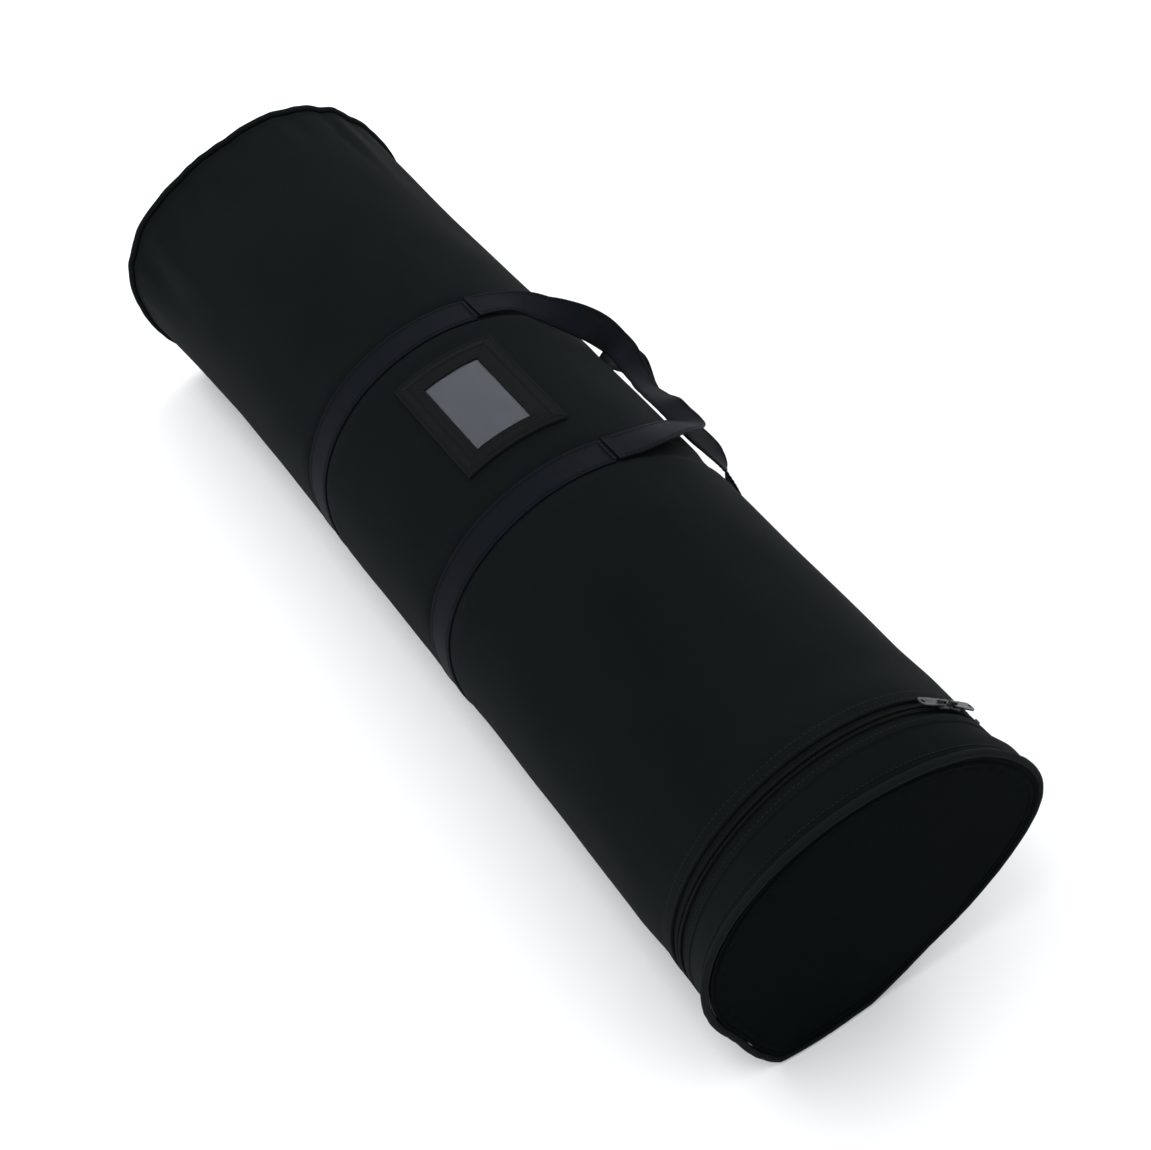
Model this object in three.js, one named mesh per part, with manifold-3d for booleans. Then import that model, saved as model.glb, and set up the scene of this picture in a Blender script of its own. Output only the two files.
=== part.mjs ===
// Soft carrying tube for rolled drawings: a padded fabric cylinder, closed at one end, with a
// zipped lid at the other, two webbing straps that rise into a pair of carrying handles, and a
// pocket with a clear window for a name card.
//
// Millimetres. The tube lies on the ground along Y: the lid is at the -Y end and the closed end
// at +Y. X runs across and Z is up. The origin is on the ground, under the middle of the tube.
// Angles go round the tube from the top (+Z) towards the handle side (+X), in degrees.
import * as THREE from "three";
import { mergeVertices } from "three/addons/utils/BufferGeometryUtils.js";
import Module from "manifold-3d";

const wasm = await Module();
wasm.setup();

// ---- driving dimensions -----------------------------------------------------------------

const LENGTH = 1000;
const RADIUS = 140; // outer face of the fabric where the tube is round
const AXIS_HEIGHT = 142; // of the tube's axis above the ground
const SEGMENTS = 48; // round the tube
const STEP_ANGLE = 360 / SEGMENTS;
const GAP = 0.3; // between pieces that touch

const FABRIC = 1.2;
const STIFFENER = 2.2;
const LINING = 0.8;
const PIPING_RADIUS = 3;
const BOARD = 3;

const ZIP_Y = -452.5; // the plane where the lid parts from the tube
const ZIP_OPEN_WIDTH = 7.5; // from that plane to the fabric's edge, on each side
const ZIP_SPLIT = 0.5; // half the gap between the two rows of teeth
const ZIP_TAPE_WIDTH = 15;
const ZIP_TAPE = 0.8;
const ZIP_FROM = -240; // the zip runs from here over the top to ZIP_TO
const ZIP_TO = 60; // and what is left, centred on 90 degrees, is the lid's fabric hinge
const TEETH_WIDTH = 3;
const TEETH_HEIGHT = 2.1;

const WEBBING_WIDTH = 30;
const WEBBING = 1.8;
const STRAP_Y = 110; // of each strap's centre line from the middle
const FRONT_ROOT = 7.5; // the angle where the front handle leaves the tube
const BACK_ROOT = 112.5; // the angle where the back handle leaves it

const CARD = { width: 90, height: 55, thickness: 0.4 };
const WINDOW_MARGIN = 2; // of the card hidden behind each edge of the frame
const WINDOW_ARC = -38.5; // of the window's centre from the top line, along the surface

// ---- shape of the lying tube --------------------------------------------------------------

// Half width, height above the axis, lower half axis, and depth of the flat that lies on the
// ground, of the fabric's outer face.
const ROUND = [RADIUS, RADIUS, RADIUS, RADIUS];
const LYING = [142, 133, 148, AXIS_HEIGHT];
const END_WIDE = [149.5, 131.5, 143, AXIS_HEIGHT - 4.5];
const FLARE = [144.5, 132.5, 146, AXIS_HEIGHT - 1.5];
const PANEL_EDGE = LENGTH / 2 - 6.3; // the walls stop here, short of the piping
const ROUND_TO = -436;
const FLARE_FROM = 300;
const STATIONS = [
  [-LENGTH / 2, END_WIDE],
  [-PANEL_EDGE, END_WIDE],
  [-468, ROUND],
  [ROUND_TO, ROUND],
  [-395, LYING],
  [FLARE_FROM, LYING],
  [400, FLARE],
  [PANEL_EDGE, END_WIDE],
  [LENGTH / 2, END_WIDE],
];
const CORE_RADIUS = 130; // inside this the section scales towards the axis

function sectionAt(y) {
  let i = 1;
  while (i < STATIONS.length - 1 && STATIONS[i][0] < y) i++;
  const [y0, low] = STATIONS[i - 1];
  const [y1, high] = STATIONS[i];
  const t = THREE.MathUtils.clamp((y - y0) / (y1 - y0), 0, 1);
  return low.map((value, k) => THREE.MathUtils.lerp(value, high[k], t));
}

// The webbing runs between the tube and the ground, so the fabric is a little higher there.
const STRAP_RISE = WEBBING + GAP;
const noLift = () => 0;
const strapLift = () => STRAP_RISE;
const STRAP_EDGE = WEBBING_WIDTH / 2 + 2;
const STRAP_FOOT = WEBBING_WIDTH / 2 + 15;
function shellLift(y) {
  const away = Math.abs(Math.abs(y) - STRAP_Y);
  return STRAP_RISE * (1 - THREE.MathUtils.clamp((away - STRAP_EDGE) / (STRAP_FOOT - STRAP_EDGE), 0, 1));
}

// The place of a point that was at this angle (radians), radius and y on the round tube.
function place(angle, radius, y, lift = noLift) {
  const [wide, top, bottom, flat] = sectionAt(y);
  const scale = Math.min(radius / CORE_RADIUS, 1);
  const offset = Math.max(radius, CORE_RADIUS) - RADIUS;
  const s = Math.sin(angle);
  const c = Math.cos(angle);
  const rise = c >= 0 ? (top + offset) * c : Math.max((bottom + offset) * c, lift(y) - flat - offset);
  return new THREE.Vector3(scale * (wide + offset) * s, y, AXIS_HEIGHT + scale * rise);
}

function mapVertices(geometry, map) {
  const position = geometry.getAttribute("position");
  const v = new THREE.Vector3();
  for (let i = 0; i < position.count; i++) {
    const p = map(v.fromBufferAttribute(position, i));
    position.setXYZ(i, p.x, p.y, p.z);
  }
  geometry.computeVertexNormals();
  return geometry;
}

// Faces that look inwards are split along the same diagonal as faces that look outwards, so that
// two walls, one inside the other, keep their gap where they twist.
function splitAlike(geometry) {
  const { index } = geometry;
  const y = (vertex) => geometry.getAttribute("position").getY(vertex);
  for (let k = 0; k < index.count; k += 6) {
    const [a, b, d, c] = [0, 1, 2, 3].map((n) => index.getX(k + n));
    if (y(d) < y(a)) [a, b, c, a, c, d].forEach((vertex, n) => index.setX(k + n, vertex));
  }
}

// A turned solid, laid on the ground with the rest of the tube.
function turned(profile, lift) {
  const lathe = new THREE.LatheGeometry(profile, SEGMENTS);
  splitAlike(lathe);
  return mapVertices(lathe, (v) => place(Math.atan2(v.x, v.z), Math.hypot(v.x, v.z), v.y, lift));
}

// A wall between two radii that passes through the given stations.
function wall(inner, outer, stations, lift) {
  const out = stations.map((y) => new THREE.Vector2(outer, y));
  const back = stations.map((y) => new THREE.Vector2(inner, y)).reverse();
  return turned([...out, ...back, out[0]], lift);
}

function disc(radius, y0, y1, lift) {
  const corners = [[0, y0], [radius, y0], [radius, y1], [0, y1]];
  return turned(corners.map(([r, y]) => new THREE.Vector2(r, y)), lift);
}

const PIPING_SIDES = 8;
function piping(y) {
  const centre = new THREE.Vector2(RADIUS + 1.5, y);
  const rim = Array.from({ length: PIPING_SIDES + 1 }, (_, i) => {
    const a = (2 * Math.PI * (i % PIPING_SIDES)) / PIPING_SIDES;
    return new THREE.Vector2(PIPING_RADIUS * Math.cos(a), PIPING_RADIUS * Math.sin(a)).add(centre);
  });
  return turned(rim);
}

// A box bent round the tube: angles from a0 to a1, radii from r0 to r1, along the stations ys.
function bent(a0, a1, r0, r1, ys, lift, at = place) {
  const around = Math.max(1, Math.round((a1 - a0) / STEP_ANGLE));
  const box = new THREE.BoxGeometry(1, 1, 1, around, ys.length - 1, 1).translate(0.5, 0.5, 0.5);
  return mapVertices(box, (v) => {
    const angle = THREE.MathUtils.degToRad(THREE.MathUtils.lerp(a0, a1, v.x));
    return at(angle, THREE.MathUtils.lerp(r0, r1, v.z), ys[Math.round(v.y * (ys.length - 1))], lift);
  });
}

// ---- boolean joins -------------------------------------------------------------------------

function solid(geometry) {
  const bare = new THREE.BufferGeometry().setAttribute("position", geometry.getAttribute("position"));
  if (geometry.index) bare.setIndex(geometry.index);
  const merged = mergeVertices(bare, 1e-4);
  return new wasm.Manifold(
    new wasm.Mesh({
      numProp: 3,
      vertProperties: merged.attributes.position.array,
      triVerts: new Uint32Array(merged.index.array),
    }),
  );
}

function geometryOf(manifold) {
  const mesh = manifold.getMesh();
  const geometry = new THREE.BufferGeometry();
  geometry.setAttribute("position", new THREE.BufferAttribute(new Float32Array(mesh.vertProperties), 3));
  geometry.setIndex(new THREE.BufferAttribute(new Uint32Array(mesh.triVerts), 1));
  const flat = geometry.toNonIndexed();
  flat.computeVertexNormals();
  return flat;
}

function joined(...geometries) {
  return geometryOf(geometries.map(solid).reduce((all, next) => all.add(next)));
}

function block(x0, x1, y0, y1, z0, z1) {
  const box = new THREE.BoxGeometry(x1 - x0, y1 - y0, z1 - z0);
  return box.translate((x0 + x1) / 2, (y0 + y1) / 2, (z0 + z1) / 2);
}

// ---- materials ------------------------------------------------------------------------------

const material = (color, roughness, metalness = 0) =>
  new THREE.MeshStandardMaterial({ color, roughness, metalness });
const FABRIC_BLACK = material(0x15181a, 0.75);
const WEBBING_NAVY = material(0x1a1c28, 0.7);
const TRIM_BLACK = material(0x1a1c1c, 0.6);
const LINING_BLACK = material(0x202224, 0.85);
const FOAM_GREY = material(0x3a3c3e, 0.9);
const NICKEL = material(0x9a9c9c, 0.35, 1);
const CARD_GREY = material(0x6a6e78, 0.6);
const CLEAR = new THREE.MeshStandardMaterial({
  color: 0xb8bcc8,
  roughness: 0.15,
  transparent: true,
  opacity: 0.4,
});

const tube = new THREE.Group();
function add(name, geometry, look, parent = tube) {
  const mesh = new THREE.Mesh(geometry, look);
  mesh.name = name;
  parent.add(mesh);
  return mesh;
}

// ---- wall of the tube: fabric, stiffener and lining ---------------------------------------------

const FABRIC_IN = RADIUS - FABRIC;
const STIFFENER_OUT = FABRIC_IN - GAP;
const STIFFENER_IN = STIFFENER_OUT - STIFFENER;
const LINING_OUT = STIFFENER_IN - GAP;
const LINING_IN = LINING_OUT - LINING;
const MOUTH_EDGE = ZIP_Y + ZIP_OPEN_WIDTH;
const BODY_TAPE_END = ZIP_Y + ZIP_SPLIT + ZIP_TAPE_WIDTH;
const INNER_STATIONS = [-395, FLARE_FROM, 400];

function strapStations() {
  const edges = [STRAP_Y - STRAP_FOOT, STRAP_Y - STRAP_EDGE, STRAP_Y + STRAP_EDGE, STRAP_Y + STRAP_FOOT];
  return [...edges.map((y) => -y).reverse(), ...edges];
}

function addBodyWall() {
  const shell = [MOUTH_EDGE, ROUND_TO, -395, ...strapStations(), FLARE_FROM, 400, PANEL_EDGE];
  add("body_shell", wall(FABRIC_IN, RADIUS, shell, shellLift), FABRIC_BLACK);
  const inside = (from, to) => [from, ...INNER_STATIONS, to];
  const mouth = BODY_TAPE_END + GAP;
  const foam = inside(mouth, PANEL_EDGE + 0.5);
  add("body_stiffener", wall(STIFFENER_IN, STIFFENER_OUT, foam, strapLift), FOAM_GREY);
  const lined = inside(mouth, PANEL_EDGE + 0.3);
  add("body_lining", wall(LINING_IN, LINING_OUT, lined, strapLift), LINING_BLACK);
  const binding = [ZIP_Y + 6, BODY_TAPE_END];
  add("mouth_binding", wall(LINING_IN - 1, LINING_OUT + 1.2, binding), TRIM_BLACK);
  const seamAt = [-120, -120 + STEP_ANGLE];
  const seam = bent(...seamAt, LINING_IN - 1.8, LINING_IN - 0.6, inside(mouth + 0.5, 492), strapLift);
  add("seam_binding", seam, TRIM_BLACK);
}

// ---- an end panel: piping, fabric, board and lining, for the closed end and for the lid ----------

const PANEL_RADIUS = RADIUS - 1.8;
function addEndPanel(prefix, side) {
  const panel = (name, radius, outer, inner, look, lift) => {
    const [y0, y1] = [side * outer, side * inner].sort((a, b) => a - b);
    add(prefix + name, disc(radius, y0, y1, lift), look);
  };
  const face = LENGTH / 2 - 1.1;
  const board = face - FABRIC + 0.1 - GAP;
  const lining = board - BOARD - GAP;
  panel("_panel", PANEL_RADIUS, face, face - FABRIC + 0.1, FABRIC_BLACK);
  panel("_board", PANEL_RADIUS, board, board - BOARD, FOAM_GREY);
  panel("_panel_lining", LINING_IN - GAP, lining, lining - LINING, LINING_BLACK, strapLift);
  add(prefix + "_piping", piping(side * (LENGTH / 2 - PIPING_RADIUS)), TRIM_BLACK);
}

// ---- lid wall ----------------------------------------------------------------------------------

const LID_EDGE = ZIP_Y - ZIP_OPEN_WIDTH;
const LID_TAPE_END = ZIP_Y - ZIP_SPLIT - ZIP_TAPE_WIDTH;
function addLidWall() {
  add("lid_band", wall(FABRIC_IN, RADIUS, [-PANEL_EDGE, -468, LID_EDGE]), FABRIC_BLACK);
  const mouth = LID_TAPE_END - GAP;
  add("lid_stiffener", wall(STIFFENER_IN, STIFFENER_OUT, [-PANEL_EDGE - 0.5, mouth]), FOAM_GREY);
  add("lid_lining", wall(LINING_IN, LINING_OUT, [-PANEL_EDGE - 0.3, mouth]), LINING_BLACK);
  add("lid_binding", wall(LINING_IN - 1, LINING_OUT + 1.2, [LID_TAPE_END, ZIP_Y - 6]), TRIM_BLACK);
}

// ---- fabric hinge between the ends of the zip -----------------------------------------------------

function addLidHinge() {
  const edge = ZIP_OPEN_WIDTH - GAP;
  const along = [ZIP_Y - edge, ZIP_Y + edge];
  const strip = bent(ZIP_TO + STEP_ANGLE, 120 - STEP_ANGLE, FABRIC_IN, RADIUS, along);
  add("lid_hinge_fabric", strip, FABRIC_BLACK);
}

// ---- zip ------------------------------------------------------------------------------------------

const TAPE_OUT = FABRIC_IN - GAP;
const TEETH_IN = TAPE_OUT + GAP;
const TEETH_OUT = TEETH_IN + TEETH_HEIGHT;
const STOP_ANGLE = 1.5; // of the zip's length taken by a stop

function addZipSide(name, side) {
  const y = (from, to) => [ZIP_Y + side * from, ZIP_Y + side * to].sort((a, b) => a - b);
  const tape = y(ZIP_SPLIT, ZIP_SPLIT + ZIP_TAPE_WIDTH);
  add("zip_tape_" + name, bent(ZIP_FROM, ZIP_TO, TAPE_OUT - ZIP_TAPE, TAPE_OUT, tape), TRIM_BLACK);
  const teeth = y(ZIP_SPLIT, ZIP_SPLIT + TEETH_WIDTH);
  const from = ZIP_FROM + STOP_ANGLE + 0.2;
  add("zip_teeth_" + name, bent(from, ZIP_TO - STOP_ANGLE - 0.2, TEETH_IN, TEETH_OUT, teeth), TRIM_BLACK);
}

function addZipStop(name, from) {
  const y = [ZIP_Y + ZIP_SPLIT, ZIP_Y + ZIP_SPLIT + TEETH_WIDTH + 0.6];
  add("zip_stop_" + name, bent(from, from + STOP_ANGLE, TEETH_IN, TEETH_OUT + 1.5, y), NICKEL);
}

// The slider is made at the top of the tube, with the direction of travel along X and heights
// measured from the underside of its upper plate.
const SLIDER_SEAT = TEETH_OUT + 0.8;
const SLIDER_LENGTH = 12;
const SLIDER_WIDTH = 10;
const PLATE = 1.6;
const LOWER_PLATE = 1.2;
const LOWER_PLATE_DROP = SLIDER_SEAT - (TAPE_OUT - ZIP_TAPE) + 0.9;
const WEDGE = { length: 6, thickness: 0.6 };
const BRIDGE = { half: 4.6, post: 1.2, width: 2, top: 4.8, bar: 1.2 };
const PULLER = { thickness: 1.2, pivot: 2.55, eye: 5.4, length: 27, neck: 3.6, tab: 4.2 };

function sliderGeometry() {
  const half = SLIDER_LENGTH / 2;
  const side = SLIDER_WIDTH / 2;
  const upper = block(-half, half, -side, side, 0, PLATE);
  const lower = block(-half, half, -side, side, -LOWER_PLATE_DROP - LOWER_PLATE, -LOWER_PLATE_DROP);
  const thick = WEDGE.thickness / 2;
  const wedge = block(-WEDGE.length / 2, WEDGE.length / 2, -thick, thick, -LOWER_PLATE_DROP - 0.1, 0.1);
  const w = BRIDGE.width / 2;
  const post = (x) => block(x, x + BRIDGE.post, -w, w, PLATE - 0.1, BRIDGE.top);
  const bar = block(-BRIDGE.half, BRIDGE.half, -w, w, BRIDGE.top - BRIDGE.bar, BRIDGE.top);
  return joined(upper, lower, wedge, post(-BRIDGE.half), post(BRIDGE.half - BRIDGE.post), bar);
}

// The tab lies along +X, with its cross bar through the slider's bridge at the origin.
function pullerGeometry() {
  const { thickness, eye, length, neck, tab } = PULLER;
  const outline = new THREE.Shape();
  outline.moveTo(-0.6, -neck);
  outline.lineTo(eye + 2, -neck);
  outline.lineTo(eye + 5, -tab);
  outline.lineTo(length - tab, -tab);
  outline.absarc(length - tab, 0, tab, -Math.PI / 2, Math.PI / 2);
  outline.lineTo(eye + 5, tab);
  outline.lineTo(eye + 2, neck);
  outline.lineTo(-0.6, neck);
  outline.closePath();
  const bridgeHole = new THREE.Path();
  bridgeHole.moveTo(0.6, -1.6).lineTo(0.6, 1.6).lineTo(eye, 1.6).lineTo(eye, -1.6).closePath();
  const gripHole = new THREE.Path();
  gripHole.absarc(length - tab, 0, 1.8, 0, 2 * Math.PI, true);
  outline.holes.push(bridgeHole, gripHole);
  const options = { depth: thickness, bevelEnabled: false, curveSegments: 8 };
  return new THREE.ExtrudeGeometry(outline, options).translate(0, 0, -thickness / 2);
}

function addSlider(name, angle, turn) {
  const seat = new THREE.Group();
  seat.position.set(0, ZIP_Y, AXIS_HEIGHT);
  seat.rotation.y = THREE.MathUtils.degToRad(angle);
  tube.add(seat);
  add("slider_" + name, sliderGeometry(), NICKEL, seat).position.z = SLIDER_SEAT;
  const puller = add("puller_" + name, pullerGeometry(), NICKEL, seat);
  puller.position.z = SLIDER_SEAT + PULLER.pivot;
  puller.rotation.z = turn;
}

// ---- straps and handles -----------------------------------------------------------------------------

const WEBBING_IN = RADIUS + GAP;
const WEBBING_OUT = WEBBING_IN + WEBBING;

function addStrap(name, y) {
  const ys = [y - WEBBING_WIDTH / 2, y + WEBBING_WIDTH / 2];
  const strap = bent(BACK_ROOT - 360, FRONT_ROOT, WEBBING_IN, WEBBING_OUT, ys, strapLift);
  add("strap_" + name, strap, WEBBING_NAVY);
}

// A flat ribbon: its centre line, and the direction of its width at each of the line's points.
function ribbon(centres, widths, steps, width, thickness) {
  const line = new THREE.CatmullRomCurve3(centres, false, "centripetal");
  const box = new THREE.BoxGeometry(1, 1, 1, steps, 1, 1).translate(0.5, 0, 0);
  return mapVertices(box, (v) => {
    const tangent = line.getTangent(v.x);
    const at = v.x * (widths.length - 1);
    const before = Math.min(Math.floor(at), widths.length - 2);
    const side = widths[before].clone().lerp(widths[before + 1], at - before);
    side.addScaledVector(tangent, -side.dot(tangent)).normalize();
    const normal = new THREE.Vector3().crossVectors(tangent, side);
    const centre = line.getPoint(v.x);
    return centre.addScaledVector(side, v.y * width).addScaledVector(normal, v.z * thickness);
  });
}

// Stations along each handle, from its far root to its near one: the angle round the tube, the
// height over the fabric, y, and the direction of the webbing's width, as parts along the tube's
// round, straight out of it and along its axis. The webbing lies flat at the roots, and stands on
// its edge, leaning, in the middle of the grip.
const FRONT_HANDLE = [
  [FRONT_ROOT + 0.7, 1.2, 112, 0, 0, 1],
  [15, 1.8, 112.4, 0, 0, 1],
  [22.5, 3.4, 111, 0.15, 0.05, 1],
  [28, 6.6, 104, 0.2, 0.25, 0.95],
  [32.5, 9.9, 91, 0.2, 0.38, 0.9],
  [37, 13, 80, 0.1, 0.65, 0.75],
  [43, 15.8, 71, 0, 0.87, 0.48],
  [52, 17.5, 70, 0, 0.92, 0.35],
  [59.5, 19.5, 64, 0.3, 0.87, 0.38],
  [61.5, 18.5, 50, 0.45, 0.84, 0.25],
  [63.8, 15.2, 36, 0.65, 0.74, 0.1],
  [63.6, 11.2, 14, 0.8, 0.54, 0.15],
  [61.2, 11.2, -8, 0.75, 0.6, 0],
  [59, 13, -28, 0.62, 0.72, 0],
  [59.6, 13, -43, 0.62, 0.72, 0],
  [59, 12.8, -58, 0.5, 0.7, -0.35],
  [52, 11.4, -75, 0.2, 0.5, -0.84],
  [41.5, 9, -89, 0, 0.33, -0.94],
  [28, 5.5, -102.8, 0, 0.15, -1],
  [17, 2.6, -109.4, 0, 0, -1],
  [FRONT_ROOT + 0.7, 1.2, -110, 0, 0, -1],
];
const BACK_HANDLE = [
  [BACK_ROOT - 0.7, 1.2, 110, 0, 0, 1],
  [104, 2.8, 111, 0, 0, 1],
  [93, 7, 110, 0, 0.1, 1],
  [82, 12, 102, 0, 0.35, 0.9],
  [75, 15, 90, 0, 0.5, 0.82],
  [70, 17, 73, 0, 0.75, 0.6],
  [67.8, 19, 52, 0.2, 0.9, 0.3],
  [68.3, 15.5, 29, 0.7, 0.6, 0],
  [69, 12.5, 7, 0.8, 0.5, 0.1],
  [69, 12.8, -18, 0.8, 0.58, 0],
  [68, 13.4, -42, 0.7, 0.68, 0.1],
  [67.5, 13.4, -64, 0.65, 0.66, 0.2],
  [67.8, 12.8, -84, 0.6, 0.55, 0.5],
  [71, 10.8, -102, 0.4, 0.3, 0.85],
  [77.5, 8.7, -111, 0.15, 0.1, 1],
  [86.5, 6.4, -113, 0, 0, 1],
  [96.5, 4.2, -111.6, 0, 0, 1],
  [104.5, 2.5, -110.4, 0, 0, 1],
  [BACK_ROOT - 0.7, 1.2, -110, 0, 0, 1],
];
const HANDLE_STEPS = 84;

function handleGeometry(stations) {
  const placed = stations.map(([degrees, over, y, round, out, along]) => {
    const angle = THREE.MathUtils.degToRad(degrees);
    const width = new THREE.Vector3(round * Math.cos(angle), along, -round * Math.sin(angle));
    width.add(new THREE.Vector3(out * Math.sin(angle), 0, out * Math.cos(angle)));
    return { centre: place(angle, RADIUS + over, y), width: width.normalize() };
  });
  const widths = placed.map((station) => station.width);
  return ribbon(placed.map((station) => station.centre), widths, HANDLE_STEPS, WEBBING_WIDTH, WEBBING);
}

// ---- name card pocket -------------------------------------------------------------------------------

// Near the top the lying tube is round about this axis, so that the card can slide along it.
const POCKET_RADIUS = LYING[0] ** 2 / LYING[1];
const POCKET_AXIS_Z = AXIS_HEIGHT + LYING[1] - POCKET_RADIUS;
const POCKET = { near: -61, far: 67, left: WINDOW_ARC - 46, right: WINDOW_ARC + 50 };
const OPENING = {
  near: -CARD.width / 2 + WINDOW_MARGIN - 1,
  far: CARD.width / 2 - WINDOW_MARGIN + 1,
  left: WINDOW_ARC - CARD.height / 2 + WINDOW_MARGIN,
  right: WINDOW_ARC + CARD.height / 2 - WINDOW_MARGIN,
};
const SEAM = 8; // of the pocket's border sewn down on three sides
const SHEET = 0.6; // of the backing and the window
const FRAME = 0.8;

const onPocket = (angle, radius, y) =>
  new THREE.Vector3(radius * Math.sin(angle), y, POCKET_AXIS_Z + radius * Math.cos(angle));

// A curved sheet between two arc lengths from the top line and two places along the tube.
function sheet(left, right, y0, y1, low, high) {
  const degrees = (arc) => THREE.MathUtils.radToDeg(arc / POCKET_RADIUS);
  const radius = POCKET_RADIUS + GAP * 1.5;
  const box = new THREE.BoxGeometry(1, 1, 1, Math.max(1, Math.round((right - left) / 8)), 1, 1);
  return mapVertices(box.translate(0.5, 0.5, 0.5), (v) => {
    const angle = THREE.MathUtils.degToRad(degrees(THREE.MathUtils.lerp(left, right, v.x)));
    const y = THREE.MathUtils.lerp(y0, y1, v.y);
    return onPocket(angle, radius + THREE.MathUtils.lerp(low, high, v.z), y);
  });
}

function addPocket() {
  const { near, far, left, right } = POCKET;
  const card = SHEET + GAP;
  const window = card + CARD.thickness + GAP;
  const frame = window + SHEET + GAP;
  add("id_backing", sheet(left, right, near, far, 0, SHEET), FABRIC_BLACK);
  const half = CARD.width / 2;
  const cardLeft = WINDOW_ARC - CARD.height / 2;
  const cardTop = card + CARD.thickness;
  add("id_card", sheet(cardLeft, cardLeft + CARD.height, -half, half, card, cardTop), CARD_GREY);
  const over = 6;
  const paneArc = [OPENING.left - over, OPENING.right + over];
  const paneLength = [OPENING.near - over, OPENING.far + over];
  const pane = sheet(...paneArc, ...paneLength, window, window + SHEET);
  add("id_window", pane, CLEAR);
  const border = solid(sheet(left, right, near, far, frame, frame + FRAME));
  const { left: x0, right: x1, near: y0, far: y1 } = OPENING;
  const hole = sheet(x0, x1, y0, y1, frame - 1, frame + FRAME + 1);
  const hem = (l, r, n, f) => solid(sheet(l, r, n, f, card, frame + FRAME / 2));
  const sewn = [
    hem(left, left + SEAM, near, far),
    hem(left, right, near, near + SEAM),
    hem(left, right, far - SEAM, far),
  ];
  const open = border.subtract(solid(hole));
  add("id_frame", geometryOf(sewn.reduce((all, next) => all.add(next), open)), TRIM_BLACK);
}

// ---- the tube ---------------------------------------------------------------------------------------

addBodyWall();
addEndPanel("end", 1);
addEndPanel("lid", -1);
addLidWall();
addLidHinge();
addZipSide("body", 1);
addZipSide("lid", -1);
addZipStop("upper", ZIP_TO - STOP_ANGLE);
addZipStop("lower", ZIP_FROM);
addSlider("left", 32.5, Math.PI);
addSlider("right", 38, 0);
addStrap("far", STRAP_Y);
addStrap("near", -STRAP_Y);
add("front_handle", handleGeometry(FRONT_HANDLE), WEBBING_NAVY);
add("back_handle", handleGeometry(BACK_HANDLE), WEBBING_NAVY);
addPocket();

export default tube;
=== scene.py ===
"""Looks of the soft carrying tube: sewn fabric, zip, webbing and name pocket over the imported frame.

The tube lies along Y with the lid at -Y. Angles go round it from the top towards the handle side
(+X). Each sewn layer is swept along one skin, given by an angle, a place along the tube and a
height over the fabric, so that the layers follow each other wherever the tube sags or creases.
Lengths are metres in this file's functions; the tables below say when they are millimetres.
"""
import math

import bmesh
import bpy
import numpy as np
from mathutils import Matrix, Vector


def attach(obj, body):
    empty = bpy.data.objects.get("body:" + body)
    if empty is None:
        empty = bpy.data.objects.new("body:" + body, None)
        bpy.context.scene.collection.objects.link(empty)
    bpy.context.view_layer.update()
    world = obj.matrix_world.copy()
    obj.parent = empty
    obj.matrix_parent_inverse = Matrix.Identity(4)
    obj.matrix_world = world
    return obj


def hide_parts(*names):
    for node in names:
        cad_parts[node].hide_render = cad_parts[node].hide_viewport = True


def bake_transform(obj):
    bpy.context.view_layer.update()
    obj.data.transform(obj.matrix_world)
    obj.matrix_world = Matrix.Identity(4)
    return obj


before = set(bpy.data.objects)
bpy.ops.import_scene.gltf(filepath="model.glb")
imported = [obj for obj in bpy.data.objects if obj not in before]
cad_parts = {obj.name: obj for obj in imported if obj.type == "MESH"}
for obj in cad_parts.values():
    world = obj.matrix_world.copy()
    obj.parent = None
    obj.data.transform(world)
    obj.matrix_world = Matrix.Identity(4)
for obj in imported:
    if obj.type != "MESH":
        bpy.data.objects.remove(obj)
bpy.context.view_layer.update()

# ---- driving dimensions ------------------------------------------------------------------------

MM = 0.001
TURN = 2 * math.pi
SEED = 11

AXIS = 0.142  # height of the tube's axis above the ground
RING = 0.140  # radius of the fabric at the zip, where the tube is held round
HALF_LENGTH = 0.5
WALL_END = 0.4937  # the fabric walls stop here, short of the piping
PIPING = 0.003
FABRIC = 0.0012
GAP = 0.0003

ZIP_Y = -0.4525
ZIP_HALF_OPENING = 0.0075
ZIP_FROM, ZIP_TO = -240, 60  # degrees
TAPE_TOP, TAPE = -0.0015, 0.0008
TAPE_WIDTH, TAPE_SPLIT = 0.015, 0.0005

WEBBING_WIDTH, WEBBING = 0.030, 0.0018
STRAP_Y = 0.110
FRONT_ROOT, BACK_ROOT = 7.5, 112.5  # degrees

# The lying tube's section: half width, height over the axis and lower half axis.
LYING = (0.142, 0.133, 0.148)

# How the soft ends sag: the angle in degrees and the fabric's radius in millimetres.
LID_RIM = [
    (0, 130), (20, 132), (45, 137), (58, 141.5), (72, 148), (82, 151), (92, 148), (105, 139),
    (120, 130), (138, 125.5), (150, 124.5), (165, 131), (180, 141), (206, 156.5), (216, 151.5),
    (235, 141), (260, 145.5), (280, 148), (300, 146.5), (315, 142.5), (330, 137), (345, 132),
]
FAR_RIM = [
    (0, 126), (20, 133), (40, 136.5), (57, 138), (80, 145), (155, 145.5), (180, 138),
    (205, 148), (220, 153), (240, 156), (268, 156), (282, 152), (291, 146), (303, 136.5),
    (315, 129), (331, 121.5), (345, 121.5),
]

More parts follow.
